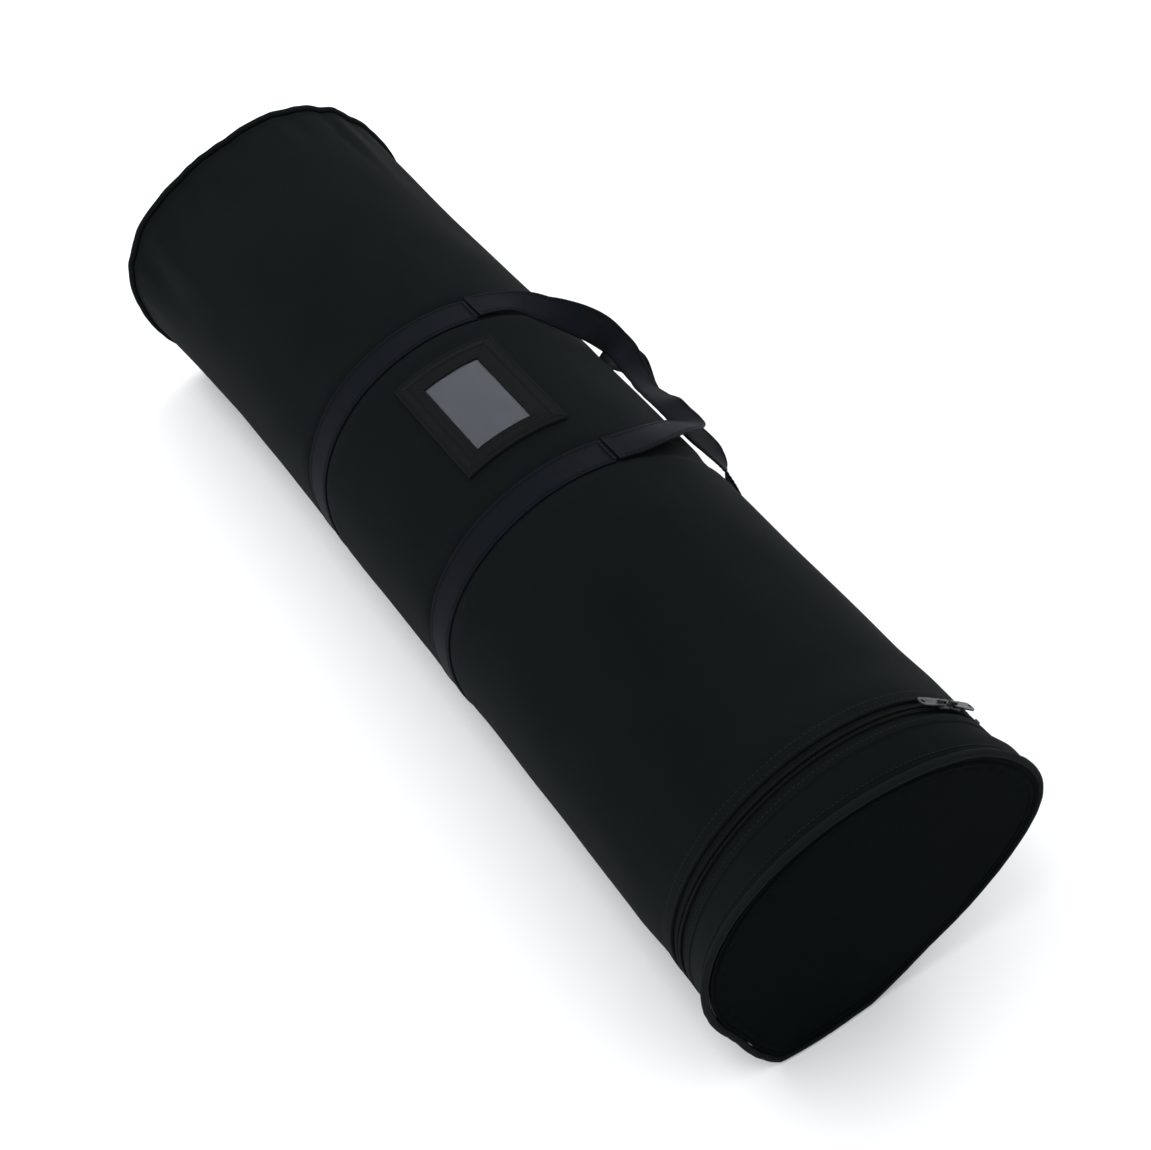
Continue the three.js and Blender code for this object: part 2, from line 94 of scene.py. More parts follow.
# Dents and ridges: angle in degrees, y, length along the tube, width round it and height, in mm.
CREASES = [
    (-80, 448, 46, 9, -4.5), (-69, 430, 70, 6, 1.8), (-95, 462, 40, 9, 1.6), (-58, 455, 40, 8, -1.5),
    (62, 340, 110, 40, -3.6), (-84, 486, 22, 8, 2.0), (62, -398, 26, 30, 1.8),
    (-114, -240, 150, 45, -2.4),
    (34, 452, 70, 5, 2.4), (28, 455, 60, 4, -2.2), (44, 466, 40, 4, -1.8), (12, 470, 36, 5, -1.8),
    (4, 468, 34, 4, 1.4), (-18, 474, 30, 6, -2.0), (-32, 470, 34, 5, 1.6), (-46, 455, 50, 7, -2.4),
    (52, 400, 110, 9, 1.2), (40, 330, 120, 12, -0.9), (-60, 300, 140, 16, -0.8), (-80, 200, 160, 14, 0.8),
    (-100, -60, 160, 18, -0.9), (-70, -250, 150, 15, 0.8), (20, -250, 150, 14, -0.8),
    (45, -320, 90, 10, 0.7), (-20, -330, 120, 14, 0.7), (-95, -330, 110, 12, -0.8),
    (60, 200, 90, 14, -0.9),
    (66, -480, 11, 30, 4.2), (0, 260, 120, 16, 0.7), (-30, 200, 90, 12, -0.5),
    (25, 0, 60, 10, 0.6), (-110, 350, 120, 12, 0.9),
]

# Stations along each handle, as in the part: the angle, the height over the fabric and y in
# millimetres, and the direction of the webbing's width, round, out of and along the tube.
FRONT_HANDLE = [
    (8.2, 1.2, 112, 0, 0, 1), (15, 1.8, 112.4, 0, 0, 1), (22.5, 3.4, 111, 0.15, 0.05, 1),
    (28, 6.6, 104, 0.2, 0.25, 0.95), (32.5, 9.9, 91, 0.2, 0.38, 0.9), (37, 13, 80, 0.1, 0.65, 0.75),
    (43, 15.8, 71, 0, 0.87, 0.48), (52, 17.5, 70, 0, 0.92, 0.35), (59.5, 19.5, 64, 0.3, 0.87, 0.38),
    (61.5, 18.5, 50, 0.45, 0.84, 0.25), (63.8, 15.2, 36, 0.65, 0.74, 0.1),
    (63.6, 11.2, 14, 0.8, 0.54, 0.15), (61.2, 11.2, -8, 0.75, 0.6, 0), (59, 13, -28, 0.62, 0.72, 0),
    (59.6, 13, -43, 0.62, 0.72, 0), (59, 12.8, -58, 0.5, 0.7, -0.35), (52, 11.4, -75, 0.2, 0.5, -0.84),
    (41.5, 9, -89, 0, 0.33, -0.94), (28, 5.5, -102.8, 0, 0.15, -1), (17, 2.6, -109.4, 0, 0, -1),
    (8.2, 1.2, -110, 0, 0, -1),
]
BACK_HANDLE = [
    (111.8, 1.2, 110, 0, 0, 1), (104, 2.8, 111, 0, 0, 1), (93, 7, 110, 0, 0.1, 1),
    (82, 12, 102, 0, 0.35, 0.9), (75, 15, 90, 0, 0.5, 0.82), (70, 17, 73, 0, 0.75, 0.6),
    (67.8, 19, 52, 0.2, 0.9, 0.3), (68.3, 15.5, 29, 0.7, 0.6, 0), (69, 12.5, 7, 0.8, 0.5, 0.1),
    (69, 12.8, -18, 0.8, 0.58, 0), (68, 13.4, -42, 0.7, 0.68, 0.1), (67.5, 13.4, -64, 0.65, 0.66, 0.2),
    (67.8, 12.8, -84, 0.6, 0.55, 0.5), (71, 10.8, -102, 0.4, 0.3, 0.85),
    (77.5, 8.7, -111, 0.15, 0.1, 1), (86.5, 6.4, -113, 0, 0, 1), (96.5, 4.2, -111.6, 0, 0, 1),
    (104.5, 2.5, -110.4, 0, 0, 1), (111.8, 1.2, -110, 0, 0, 1),
]


# ---- the skin ----------------------------------------------------------------------------------


def smooth(t):
    """0 below 0, 1 above 1, and an even ramp between."""
    t = np.clip(t, 0, 1)
    return t * t * (3 - 2 * t)


def bell(distance, width):
    return np.exp(-((distance / width) ** 2))


def turn_from(angle, degrees):
    """The way round from that many degrees to the angle, between minus and plus half a turn."""
    return (angle - math.radians(degrees) + math.pi) % TURN - math.pi


def outline(stations, spread=5):
    """A smooth closed outline through (degrees, millimetres) stations, as a function of the angle."""
    degrees, radii = np.array(stations, float).T
    fine = np.arange(0, 360)
    raw = np.interp(fine, degrees, radii, period=360)
    weights = bell(np.minimum(fine, 360 - fine), spread)
    blurred = np.real(np.fft.ifft(np.fft.fft(raw) * np.fft.fft(weights / weights.sum())))
    return lambda angle: np.interp(np.degrees(angle) % 360, fine, blurred, period=360) * MM


lid_rim = outline(LID_RIM)
far_rim = outline(FAR_RIM)


def lying_radius(angle):
    half_width, top, lower = LYING
    height = np.where(np.cos(angle) >= 0, top, lower)
    return 1 / np.sqrt((np.sin(angle) / half_width) ** 2 + (np.cos(angle) / height) ** 2)


def waves():
    """Broad, soft undulations that close on themselves round the tube."""
    rng = np.random.default_rng(SEED)
    found = []
    for _ in range(18):
        round_count = rng.integers(2, 10) * rng.choice([-1, 1])
        along_count = TURN / rng.uniform(0.09, 0.34)
        phase = rng.uniform(0, TURN)
        found.append((round_count, along_count, phase, rng.uniform(0.05, 0.14)))
    return found


WAVES = waves()


def slack(angle, y):
    """The fabric's free shape in millimetres: soft waves, creases, and gathers at both end seams."""
    height = sum(a * np.cos(m * angle + k * y + p) for m, k, p, a in WAVES)
    for degrees, along, length, width, rise in CREASES:
        across = turn_from(angle, degrees) * RING / MM
        height = height + rise * bell(across, width * 1.5) * bell(y / MM - along, length)
    pull = 0.5 * np.cos(47 * angle + 1) + 0.3 * np.cos(29 * angle)
    pull = pull + 0.35 * np.cos(61 * angle + 2 * np.sin(3 * angle))
    return height + 0.16 * pull * np.exp(-(WALL_END - np.abs(y)) / 0.016)


def near(distance, reach, ramp):
    """1 where the distance is well under the reach, 0 past it, over a ramp that long."""
    return smooth((reach - np.abs(distance)) / ramp)


def relief(angle, y):
    """How far the fabric stands off the even skin. It lies flat under the pocket, the zip holds it
    round, and each strap presses it in, so that it puffs up a little beside the strap."""
    from_strap = np.abs(y) - STRAP_Y
    pocket = near(turn_from(angle, 0) * RING + 0.037, 0.062, 0.014) * near(y - 0.003, 0.082, 0.014)
    held = near(y - ZIP_Y, 0.028, 0.016)
    strap = near(from_strap, 0.026, 0.012)
    quiet = (1 - pocket) * (1 - held) * (1 - 0.6 * strap)
    press = -1.9 * near(from_strap, 0.0195, 0.005) * (1 - 0.6 * pocket)
    puff = 0.35 * bell(np.abs(from_strap) - 0.030, 0.010) * (1 - pocket)
    return (slack(angle, y) * quiet + press + puff) * MM


def floor_radius(angle, y):
    """How far out the ground is. The straps and the piping under the tube hold the fabric off it."""
    lift = 0.0003 + 0.0024 * near(np.abs(y) - STRAP_Y, 0.024, 0.008)
    lift = lift + 0.0046 * np.where(y > 0, smooth((y - 0.40) / 0.09), smooth((-0.468 - y) / 0.02))
    return (AXIS - lift) / np.maximum(-np.cos(angle), 1e-3)


def skin_radius(angle, y):
    """The fabric's outer face: oval where it lies, round at the zip, its own outline at each end."""
    lying = lying_radius(angle)
    radius = lying + (RING - lying) * smooth((-0.385 - y) / 0.054)
    bulging = 1.15 - 0.65 * bell(turn_from(angle, 76), 0.45)
    radius = radius + (lid_rim(angle) - RING) * np.clip((-0.4645 - y) / 0.0295, 0, 1.1) ** bulging
    radius = radius + (far_rim(angle) - lying) * np.clip((y - 0.24) / 0.254, 0, 1.02) ** 1.7
    radius = radius + relief(angle, y)
    soft = 0.0005
    return -soft * np.logaddexp(-radius / soft, -floor_radius(angle, y) / soft)


def lid_slump(angle):
    """How far the lid's rim slumps outwards along the tube, near the ground."""
    return 0.0072 * bell(turn_from(angle, 203), 0.5)


def on_skin(angle, y, out):
    """The point at that angle and place along the tube, out above the fabric's outer face."""
    angle, y, out = np.broadcast_arrays(*(np.asarray(v, float) for v in (angle, y, out)))
    radius = skin_radius(angle, y) + out
    along = y - lid_slump(angle) * smooth((-0.464 - y) / 0.030)
    return np.stack([radius * np.sin(angle), along, AXIS + radius * np.cos(angle)], -1)


# ---- meshes ------------------------------------------------------------------------------------


def make_object(name, points, faces, uvs=None, sharp=40):
    mesh = bpy.data.meshes.new(name)
    mesh.from_pydata(points.reshape(-1, 3).tolist(), [], [tuple(int(i) for i in f) for f in faces])
    if uvs is not None:
        layer = mesh.uv_layers.new(name="UVMap")
        layer.data.foreach_set("uv", np.asarray(uvs, np.float32).ravel())
    work = bmesh.new()
    work.from_mesh(mesh)
    bmesh.ops.remove_doubles(work, verts=work.verts, dist=1e-6)
    bmesh.ops.recalc_face_normals(work, faces=work.faces)
    work.to_mesh(mesh)
    work.free()
    mesh.shade_smooth()
    mesh.set_sharp_from_angle(angle=math.radians(sharp))
    thing = bpy.data.objects.new(name, mesh)
    bpy.context.scene.collection.objects.link(thing)
    return thing


def quads(rows, columns, close_rows, close_columns):
    """Corner indices of a grid's faces, with the indices before wrapping, for their UVs."""
    i, j = np.meshgrid(
        np.arange(rows if close_rows else rows - 1),
        np.arange(columns if close_columns else columns - 1),
        indexing="ij",
    )
    i, j = i.ravel(), j.ravel()
    corners = np.stack([[i, j], [i + 1, j], [i + 1, j + 1], [i, j + 1]], 0)
    wrapped = (corners[:, 0] % rows) * columns + corners[:, 1] % columns
    return wrapped.T, corners.transpose(2, 0, 1)


def swept(name, points, closed, lengthwise, crosswise, sharp=40):
    """A solid from loops: points[i, j] is loop i's point j. An open sweep gets flat end caps."""
    rows, columns = points.shape[:2]
    faces, corners = quads(rows, columns, closed, True)
    along = np.append(lengthwise, lengthwise[-1] * 2 - lengthwise[-2])
    across = np.append(crosswise, crosswise[-1] * 2 - crosswise[-2])
    uvs = np.stack([along[corners[:, :, 0]], across[corners[:, :, 1]]], -1).reshape(-1, 2)
    faces = faces.tolist()
    if not closed:
        ends = [list(range(columns)), list(range((rows - 1) * columns, rows * columns))]
        faces += ends
        uvs = np.vstack([uvs, np.zeros((2 * columns, 2))])
    return make_object(name, points, faces, uvs, sharp)


def strip_loop(y0, y1, low, high, steps, top=None, under=None):
    """The outline of a strip's section, as (y, out): flat below, shaped above, with round edges.
    The shaped face has that many steps, and so has the flat one unless under is given."""
    half = (high - low) / 2
    middle = (high + low) / 2
    bend = np.linspace(math.pi / 2, -math.pi / 2, 7)[1:-1]
    ys = np.linspace(y0 + half, y1 - half, steps)
    upper = np.full(steps, high) + (0 if top is None else top(ys))
    first_edge = np.stack([y0 + half - half * np.cos(-bend), middle + half * np.sin(-bend)], 1)
    last_edge = np.stack([y1 - half + half * np.cos(bend), middle + half * np.sin(bend)], 1)
    back = np.linspace(y1 - half, y0 + half, under or steps)
    face = np.stack([ys, upper], 1)
    underside = np.stack([back, np.full_like(back, low)], 1)
    return np.vstack([face, last_edge, underside, first_edge])


def round_tube(name, loop, steps, degrees=None, sharp=40):
    """A strip's section swept round the tube, all the way or between two angles."""
    closed = degrees is None
    ends = (-180, 180) if closed else degrees
    angles = np.radians(np.linspace(*ends, steps + (0 if closed else 1), endpoint=not closed))
    points = on_skin(angles[:, None], loop[None, :, 0], loop[None, :, 1])
    across = np.cumsum(np.linalg.norm(np.diff(loop, axis=0, prepend=loop[:1]), axis=1))
    return swept(name, points, closed, angles * RING, across, sharp)


def disc(name, side, profile, inset, steps=180, bulge=None):
    """A round panel. profile is (share of the radius, y from the middle) from the centre of one face
    to the centre of the other, and inset is how far the panel stops short of the skin."""
    angles = np.linspace(0, TURN, steps, endpoint=False)[:, None]
    share, depth = profile[None, :, 0], profile[None, :, 1]
    edge = skin_radius(angles, np.full_like(angles, side * WALL_END)) - inset
    y = depth + (0 if bulge is None else bulge(angles, share, edge))
    radius = share * edge
    along = side * y - (lid_slump(angles) * share**3 if side < 0 else 0 * angles)
    points = np.stack([radius * np.sin(angles), along, AXIS + radius * np.cos(angles)], -1)
    thing = make_object(name, points, quads(steps, profile.shape[0], True, False)[0].tolist())
    planar_uv(thing)
    return thing


def planar_uv(thing):
    """UVs in metres across the disc's flat face."""
    mesh = thing.data
    layer = mesh.uv_layers.get("UVMap") or mesh.uv_layers.new(name="UVMap")
    co = np.array([v.co for v in mesh.vertices])
    index = np.array([loop.vertex_index for loop in mesh.loops])
    layer.data.foreach_set("uv", co[index][:, [0, 2]].astype(np.float32).ravel())


def between(name, top, bottom, closed_rows=False, uv=None, sharp=40):
    """A sheet: the solid between two grids of points, joined along their edges."""
    rows, columns = top.shape[:2]
    count = rows * columns
    faces, corners = quads(rows, columns, closed_rows, False)
    uv = np.zeros((rows, columns, 2)) if uv is None else uv
    flat = np.pad(uv, ((0, 1), (0, 0), (0, 0)), mode="edge")
    flat[-1] = 2 * uv[-1] - uv[-2]
    upper_uv = flat[corners[:, :, 0], corners[:, :, 1]]
    all_faces = faces.tolist() + (faces[:, ::-1] + count).tolist()
    uvs = [upper_uv.reshape(-1, 2), upper_uv[:, ::-1].reshape(-1, 2)]
    walls = []
    for column in (0, columns - 1):
        line = np.arange(rows) * columns + column
        pairs = zip(line, np.roll(line, -1)) if closed_rows else zip(line[:-1], line[1:])
        walls += [(a, b, b + count, a + count) for a, b in pairs]
    if not closed_rows:
        for row in (0, rows - 1):
            line = row * columns + np.arange(columns)
            walls += [(a, b, b + count, a + count) for a, b in zip(line[:-1], line[1:])]
    uvs.append(np.zeros((4 * len(walls), 2)))
    points = np.vstack([top.reshape(-1, 3), bottom.reshape(-1, 3)])
    return make_object(name, points, all_faces + walls, np.vstack(uvs), sharp)


# ---- threads -----------------------------------------------------------------------------------

STITCH = 0.0030
STITCH_GAP = 0.0011
THREAD = 0.00035


def stitch_row(name, line, normals, thread=THREAD, length=STITCH, gap=STITCH_GAP):
    """A row of stitches: plump little threads laid end to end along a line of points."""
    steps = np.linalg.norm(np.diff(line, axis=0), axis=1)
    travelled = np.concatenate([[0], np.cumsum(steps)])
    count = max(2, int(travelled[-1] / (length + gap)))
    starts = (np.arange(count) + 0.5) * travelled[-1] / count

    def at(values, where):
        return np.stack([np.interp(where, travelled, values[:, k]) for k in range(3)], -1)

    shares = np.array([-0.5, -0.34, 0, 0.34, 0.5]) * length
    widths = np.array([0.15, 0.8, 1, 0.8, 0.15]) * thread
    turns = np.linspace(0, TURN, 6, endpoint=False)
    centres = np.stack([at(line, starts + share) for share in shares], 1)
    up = np.stack([at(normals, starts + share) for share in shares], 1)
    up /= np.linalg.norm(up, axis=-1, keepdims=True)
    ahead = (centres[:, -1] - centres[:, 0])[:, None, :]
    side = np.cross(ahead, up)
    side /= np.linalg.norm(side, axis=-1, keepdims=True)
    centres = centres + up * thread
    ring = side[:, :, None] * np.cos(turns)[:, None] * 1.3 + up[:, :, None] * np.sin(turns)[:, None]
    points = centres[:, :, None] + ring * widths[None, :, None, None]
    one, _ = quads(5, 6, False, True)
    one = one.tolist()
    ends = [list(range(6)), list(range(24, 30))]
    faces = [[i + k * 30 for i in face] for k in range(count) for face in one + ends]
    return make_object(name, points, faces, sharp=60)


def skin_stitches(name, y, out, degrees=(-180, 180)):
    """Stitches that follow the skin round the tube."""
    angles = np.radians(np.linspace(*degrees, 900))
    line = on_skin(angles, np.full_like(angles, y), out)
    normals = np.stack([np.sin(angles), 0 * angles, np.cos(angles)], -1)
    return stitch_row(name, line, normals)


# ---- materials ---------------------------------------------------------------------------------


class Surface:
    """A material's nodes, built a line at a time."""

    def __init__(self, name):
        self.material = bpy.data.materials.new(name)
        self.material.use_nodes = True
        self.tree = self.material.node_tree
        self.tree.nodes.clear()
        self.shader = self.add("ShaderNodeBsdfPrincipled")
        output = self.add("ShaderNodeOutputMaterial")
        self.link(self.shader.outputs[0], output.inputs[0])

    def add(self, kind, **inputs):
        node = self.tree.nodes.new(kind)
        for key, value in inputs.items():
            if hasattr(value, "node"):
                self.link(value, node.inputs[key])
            else:
                node.inputs[key].default_value = value
        return node

    def link(self, source, target):
        self.tree.links.new(source, target)

    def set(self, **values):
        for key, value in values.items():
            self.shader.inputs[key.replace("_", " ")].default_value = value

    def place(self, kind="UV"):
        return self.add("ShaderNodeTexCoord").outputs[kind]

    def noise(self, scale, detail=3, kind="Object"):
        node = self.add("ShaderNodeTexNoise", Vector=self.place(kind), Scale=scale, Detail=detail)
        return node.outputs[0]

    def bands(self, direction, pitch, distortion=0.0):
        node = self.add(
            "ShaderNodeTexWave", Vector=self.place(), Scale=math.pi / (10 * pitch), Distortion=distortion
        )
        node.bands_direction = direction
        return node.outputs["Fac"]

    def math(self, operation, first, second):
        node = self.tree.nodes.new("ShaderNodeMath")
        node.operation = operation
        for slot, value in zip(node.inputs, (first, second)):
            if hasattr(value, "node"):
                self.link(value, slot)
            else:
                slot.default_value = value
        return node.outputs[0]

    def ramp(self, factor, low, high, start=0.0, end=1.0):
        node = self.add("ShaderNodeValToRGB", Fac=factor)
        node.color_ramp.elements[0].position = start
        node.color_ramp.elements[0].color = (*low, 1)
        node.color_ramp.elements[1].position = end
        node.color_ramp.elements[1].color = (*high, 1)
        return node.outputs[0]

    def colour(self, source):
        self.link(source, self.shader.inputs["Base Color"])

    def roughness(self, factor, low, high):
        node = self.add("ShaderNodeMapRange", Value=factor)
        node.inputs["To Min"].default_value = low
        node.inputs["To Max"].default_value = high
        self.link(node.outputs[0], self.shader.inputs["Roughness"])

    def bump(self, height, strength, distance):
        node = self.add("ShaderNodeBump", Height=height, Strength=strength, Distance=distance)
        self.link(node.outputs[0], self.shader.inputs["Normal"])


def woven(name, dark, light, pitch, sheen=0.006, specular=0.035, strength=0.5, tint=(0.6, 0.65, 0.7)):
    """Plain weave: threads that pass over and under each other, with slubs and a little dust."""
    s = Surface(name)
    chequer = s.add("ShaderNodeTexChecker", Vector=s.place(), Scale=1 / pitch)
    over = s.math("MULTIPLY", s.bands("X", pitch), chequer.outputs["Fac"])
    other = s.math("SUBTRACT", 1.0, chequer.outputs["Fac"])
    under = s.math("MULTIPLY", s.bands("Y", pitch), other)
    threads = s.math("ADD", over, under)
    dust = s.noise(9, 5)
    fibres = s.noise(1400, 2)
    tone = s.math("ADD", s.math("MULTIPLY", threads, 0.45), s.math("MULTIPLY", dust, 0.55))
    s.colour(s.ramp(tone, dark, light, 0.15, 0.85))
    s.roughness(fibres, 0.72, 0.95)
    s.bump(s.math("ADD", threads, s.math("MULTIPLY", fibres, 0.4)), strength, 0.25 * pitch)
    s.set(Sheen_Weight=sheen, Sheen_Roughness=0.45, Sheen_Tint=(*tint, 1), Specular_IOR_Level=specular)
    return s.material


def webbing(name, dark, light):
    """Woven tape: close ribs across its width and fine threads along it."""
    s = Surface(name)
    ribs = s.bands("X", 0.0012, 0.6)
    cords = s.bands("Y", 0.0019, 0.4)
    height = s.math("ADD", s.math("MULTIPLY", ribs, 0.6), s.math("MULTIPLY", cords, 0.4))
    wear = s.noise(30, 4)
    tone = s.math("ADD", s.math("MULTIPLY", height, 0.5), s.math("MULTIPLY", wear, 0.5))
    s.colour(s.ramp(tone, dark, light, 0.2, 0.8))
    s.roughness(s.noise(1200, 2), 0.55, 0.8)
    s.bump(height, 0.6, 0.0004)
    s.set(Sheen_Weight=0.008, Sheen_Roughness=0.4, Specular_IOR_Level=0.05)
    return s.material


def moulded(name, dark, light, low, high, scale=600, bump=0.00006, metallic=0.0, specular=0.4):
    """Fine-grained board, foam, thread, card or cast metal."""
    s = Surface(name)
    grain = s.noise(scale, 4)
    patches = s.noise(40, 4)
    tone = s.math("ADD", s.math("MULTIPLY", grain, 0.5), s.math("MULTIPLY", patches, 0.5))
    s.colour(s.ramp(tone, dark, light, 0.25, 0.75))
    s.roughness(grain, low, high)
    s.bump(grain, 0.3, bump)
    s.set(Metallic=metallic, Specular_IOR_Level=specular)
    return s.material


def vinyl(name):
    """Clear film with faint ripples, which shines where it faces the light."""
    s = Surface(name)
    ripple = s.noise(38, 2)
    s.colour(s.ramp(ripple, (0.85, 0.88, 0.92), (0.95, 0.96, 1.0)))
    s.roughness(ripple, 0.04, 0.12)
    s.bump(ripple, 0.3, 0.0005)
    s.set(Transmission_Weight=1.0, IOR=1.35, Specular_IOR_Level=0.5)
    return s.material


BLACK_FABRIC = woven("black_oxford", (0.0016, 0.0028, 0.0028), (0.0042, 0.0062, 0.0062), 0.0007)
# The end panels get a darker copy of the black fabric: painted shade, because the ends face away from the
# light.
PANEL_SHADED_BLACKS = ((0.0003, 0.001, 0.001), (0.0014, 0.0028, 0.0028))
PANEL_SHADED_FABRIC = woven("black_panel_cloth_painted_shade", *PANEL_SHADED_BLACKS, 0.0007, 0.002, 0.015)
POCKET_BLACKS = ((0.0038, 0.0048, 0.0048), (0.0085, 0.0098, 0.0098))
POCKET_FABRIC = woven("black_pocket_cloth", *POCKET_BLACKS, 0.0006)
TRIM = woven("black_trim_tape", (0.0026, 0.004, 0.004), (0.006, 0.0085, 0.0085), 0.0005)
TAPE_CLOTH = woven("black_zip_tape", (0.002, 0.003, 0.003), (0.0055, 0.0072, 0.0072), 0.0006)
LINING = woven("black_lining", (0.010, 0.010, 0.012), (0.022, 0.022, 0.026), 0.0004, specular=0.35)
NAVY = webbing("navy_webbing", (0.0012, 0.0019, 0.0032), (0.0031, 0.0047, 0.0078))
THREAD_BLACKS = ((0.002, 0.003, 0.003), (0.005, 0.0065, 0.0065))
THREAD_BLACK = moulded("black_thread", *THREAD_BLACKS, 0.6, 0.8, specular=0.12)
THREAD_NAVIES = ((0.0018, 0.0026, 0.0042), (0.0042, 0.006, 0.0098))
THREAD_NAVY = moulded("navy_thread", *THREAD_NAVIES, 0.55, 0.75, specular=0.06)
COIL_BLACKS = ((0.0012, 0.0018, 0.0018), (0.0032, 0.0042, 0.0042))
COIL = moulded("black_nylon_coil", *COIL_BLACKS, 0.45, 0.65, specular=0.1)
FOAM = moulded("grey_foam", (0.10, 0.10, 0.11), (0.2, 0.2, 0.21), 0.85, 0.97, 1500, 0.0003)
BOARD = moulded("black_board", (0.012, 0.012, 0.013), (0.03, 0.03, 0.032), 0.6, 0.8, 900, 0.0001)
NICKEL = moulded("dark_nickel", (0.012, 0.013, 0.014), (0.034, 0.035, 0.037), 0.3, 0.5, 700, 0.00004, 1.0)
CARD = moulded("grey_card", (0.029, 0.034, 0.043), (0.046, 0.053, 0.064), 0.6, 0.8, 12, 0.00001)
CLEAR = vinyl("clear_vinyl")


def finish_piece(thing, body, slot, look, *nodes):
    """Gives a piece its material and body, and takes the CAD nodes it stands for out of sight. The slot
    is not used.
    """
    thing.data.materials.clear()
    thing.data.materials.append(look)
    if body:
        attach(thing, body)
    if nodes:
        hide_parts(*nodes)
    return thing


# ---- the tube's wall ---------------------------------------------------------------------------

BODY_MOUTH = ZIP_Y + ZIP_HALF_OPENING
LID_MOUTH = ZIP_Y - ZIP_HALF_OPENING
STIFFENER_OUT, STIFFENER_IN = -0.0015, -0.0037
LINING_OUT, LINING_IN = -0.0040, -0.0048


def folded_hem(edge):
    """A fold along the fabric's edge by the zip: one more layer for 8 mm, tight at its stitches."""

    def top(ys):
        inward = np.abs(ys - edge)
        fold = 0.0009 * smooth((0.0085 - inward) / 0.0012)
        return fold - 0.0004 * bell(inward - 0.0030, 0.0007)

    return top


def layers_end(side):
    """Where the wall's inner layers stop, beside the zip tape."""
    return ZIP_Y + side * (TAPE_SPLIT + TAPE_WIDTH + GAP)


def add_inner_layers(prefix, side, body, steps, binding_node):
    """The foam that keeps the wall round, its lining, and the binding over their edge at the zip."""
    mouth = layers_end(side)
    end = side * WALL_END
    foam = strip_loop(*sorted((mouth, end + side * 0.0005)), STIFFENER_IN, STIFFENER_OUT, steps)
    piece = round_tube(prefix + "_foam", foam, 180)
    finish_piece(piece, body, "grey_foam", FOAM, prefix + "_stiffener")
    lining = strip_loop(*sorted((mouth, end + side * 0.0003)), LINING_IN, LINING_OUT, steps)
    piece = round_tube(prefix + "_inner_lining", lining, 180)
    finish_piece(piece, body, "black_lining", LINING, prefix + "_lining")
    binding = strip_loop(*sorted((ZIP_Y + side * 0.006, mouth - side * GAP)), -0.0058, -0.0028, 10)
    piece = round_tube(prefix + "_mouth_binding", binding, 240)
    finish_piece(piece, body, "black_trim", TRIM, binding_node)


def add_body_wall():
    shell = strip_loop(BODY_MOUTH, WALL_END, -FABRIC, 0, 270, folded_hem(BODY_MOUTH), 80)
    piece = round_tube("body_fabric", shell, 270)
    finish_piece(piece, "tube", "black_fabric", BLACK_FABRIC, "body_shell")
    add_inner_layers("body", 1, "tube", 200, "mouth_binding")
    seam = strip_loop(layers_end(1) + 0.0005, 0.492, LINING_IN - 0.0018, LINING_IN - 0.0006, 160)
    piece = round_tube("body_seam_tape", seam, 12, (-120, -112.5))
    finish_piece(piece, "tube", "black_trim", TRIM, "seam_binding")


def add_lid_wall():
    wall = strip_loop(-WALL_END, LID_MOUTH, -FABRIC, 0, 60, folded_hem(LID_MOUTH))
    piece = round_tube("lid_fabric", wall, 300)
    finish_piece(piece, "lid", "black_fabric", BLACK_FABRIC, "lid_band")
    add_inner_layers("lid", -1, "lid", 24, "lid_binding")


def add_hinge():
    reach = ZIP_HALF_OPENING - GAP
    loop = strip_loop(ZIP_Y - reach, ZIP_Y + reach, -FABRIC, 0, 16)
    hinge = round_tube("lid_hinge_strip", loop, 60, (ZIP_TO + 7.5, 120 - 7.5))
    finish_piece(hinge, None, "black_fabric", BLACK_FABRIC, "lid_hinge_fabric")
    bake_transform(hinge)


# ---- end panels --------------------------------------------------------------------------------


def panel_profile(outer, inner, steps=70):
    share = np.linspace(0, 1, steps) ** 0.8
    front = np.stack([share, np.full(steps, outer)], 1)
    back = np.stack([share[::-1], np.full(steps, inner)], 1)
    return np.vstack([front, back])


def panel_bulge(seed):
    """The panel's front: slack in the middle, a seam groove and a ridge inside the piping."""
    rng = np.random.default_rng(seed)
    folds = [(rng.integers(1, 6), rng.uniform(0, TURN), rng.uniform(0.2, 0.6)) for _ in range(7)]

    def bulge(angles, share, edge):
        loose = sum(a * np.cos(m * angles + p) * share**m for m, p, a in folds) * (1 - share**6)
        inward = (1 - share) * edge / MM
        seam = -0.8 * bell(inward - 3.2, 0.9) + 0.6 * bell(inward - 6.4, 1.6)
        seam = seam - 0.35 * bell(inward - 9.4, 0.8)
        gathers = 0.14 * np.cos(53 * angles) + 0.12 * np.cos(37 * angles + 1)
        pulled = gathers * np.exp(-((inward - 8) / 7) ** 2) * (inward > 1.5)
        hollow = 1.08 * (1 - share**2)
        return (0.9 * loose - hollow + seam + pulled) * MM * (share < 1.0)

    def front_only(angles, share, edge):
        whole = bulge(angles, share, edge)
        half = share.shape[1] // 2
        sheet = np.ones(share.shape[1])
        sheet[half:] = np.where(share[0, half:] > 0.985, 0, 1)
        return whole * sheet[None, :]

    return front_only


